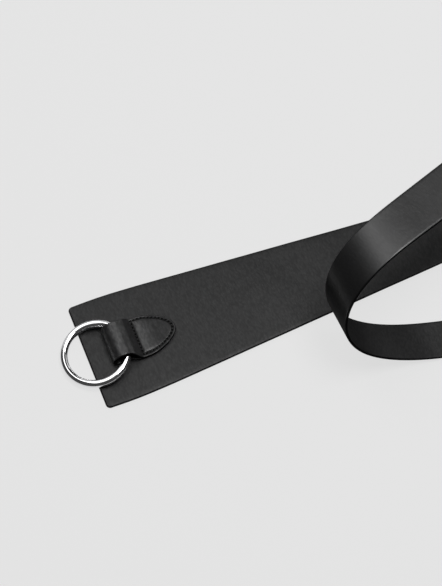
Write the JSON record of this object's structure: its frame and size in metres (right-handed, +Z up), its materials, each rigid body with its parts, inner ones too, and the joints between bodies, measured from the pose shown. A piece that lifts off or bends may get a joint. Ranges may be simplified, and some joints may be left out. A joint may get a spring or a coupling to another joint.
{
  "type": "leather knot belt",
  "caption": "Black leather knot belt lying down: wide flat end with a metal ring in a stitched leather keeper, strap curling back to a narrow tail.",
  "frame": {"origin": "on the underside of the strap's wide end, on its middle line, 100 mm from its end edge", "axes": "+X along the wide end's middle line towards the curls, +Z up, +Y across the strap"},
  "size_m": [0.4198, 0.1635, 0.1021],
  "materials": {
    "strap_leather": "smooth black, fine grain, soft sheen, painted edges",
    "tab_leather": "smooth black, sewn with black thread",
    "ring_metal": "polished"
  },
  "bodies": {
    "belt": {"strap": "strap_leather", "ring_tab": "tab_leather"},
    "ring": {"ring": "ring_metal"}
  },
  "joints": [
    {"name": "ring_swing", "type": "hinge", "parent": "belt", "child": "ring", "pos_m": [-0.0748, -0.001, 0.00811], "axis": [0, 1, 0], "range_deg": [0, 45]}
  ]
}
